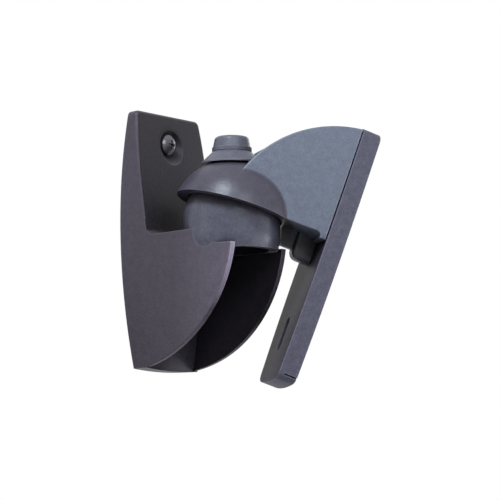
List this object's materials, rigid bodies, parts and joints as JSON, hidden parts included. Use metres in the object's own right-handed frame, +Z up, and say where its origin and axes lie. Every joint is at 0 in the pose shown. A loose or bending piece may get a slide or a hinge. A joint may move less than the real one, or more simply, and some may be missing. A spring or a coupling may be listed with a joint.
{
  "type": "speaker wall bracket",
  "caption": "Wall bracket for a small loudspeaker: a ball on a quarter-round wall foot, a domed arm clamped on it by a knob, and a tall bowed speaker plate.",
  "frame": {"origin": "on the wall plane, midway between the two wall screws and level with the ball", "axes": "+Y into the wall, +X to the right seen from the room, +Z up"},
  "size_m": [0.0984, 0.1228, 0.141],
  "materials": {
    "moulding": "fine-grained satin anthracite",
    "blackened_steel": "blackened, slightly glossy",
    "zinc_steel": "zinc plated"
  },
  "bodies": {
    "base": {"wall_bracket": "moulding", "wall_screws": "blackened_steel", "clamp_bolt": "zinc_steel"},
    "swivel": {"skirt_washer": "moulding", "thrust_washer": "zinc_steel"},
    "arm": {"dome_arm": "moulding", "speaker_plate": "moulding", "lock_screw": "blackened_steel"},
    "knob": {"clamp_knob": "moulding", "knob_nut": "zinc_steel"}
  },
  "joints": [
    {"name": "swivel", "type": "hinge", "parent": "base", "child": "swivel", "pos_m": [0, -0.048, 0], "axis": [0, 0, 1], "range_deg": [-112.5, 7.5]},
    {"name": "tilt", "type": "hinge", "parent": "swivel", "child": "arm", "pos_m": [0, -0.048, 0], "axis": [0.6088, 0.7934, 0], "range_deg": [-34.9, 0.6]},
    {"name": "knob_turn", "type": "hinge", "parent": "base", "child": "knob", "pos_m": [0, -0.048, 0.039], "axis": [0, 0, 1], "range_deg": [0, 180]}
  ]
}
